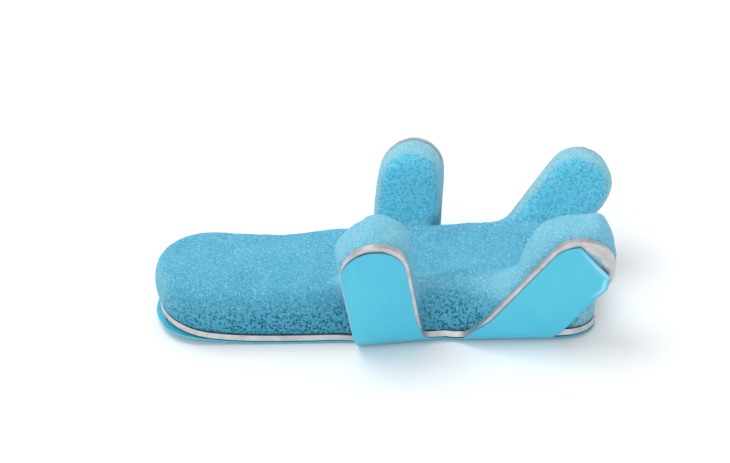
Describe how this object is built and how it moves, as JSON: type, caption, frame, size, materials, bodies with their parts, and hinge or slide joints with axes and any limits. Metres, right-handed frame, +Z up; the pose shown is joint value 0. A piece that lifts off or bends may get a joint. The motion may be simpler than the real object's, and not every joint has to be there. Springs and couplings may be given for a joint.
{
  "type": "finger splint",
  "caption": "Bendable padded finger splint: a rounded long pad and folded prong pairs in sheet aluminium, lined with soft foam and backed with thin film.",
  "frame": {"origin": "under the middle of the splint's bounding box, on the surface that it lies on", "axes": "+X from the long pad's tip to the tail at the hand, +Y across the finger, +Z up out of the padded side"},
  "size_m": [0.0906, 0.0432, 0.0284],
  "materials": {
    "bare_aluminium": "soft sheet with a bright sheared edge",
    "blue_foam": "matte open-cell polyurethane foam",
    "blue_film": "smooth satin film"
  },
  "bodies": {
    "root": {"aluminium_sheet": "bare_aluminium", "foam_pad": "blue_foam", "outer_film": "blue_film"}
  },
  "joints": []
}
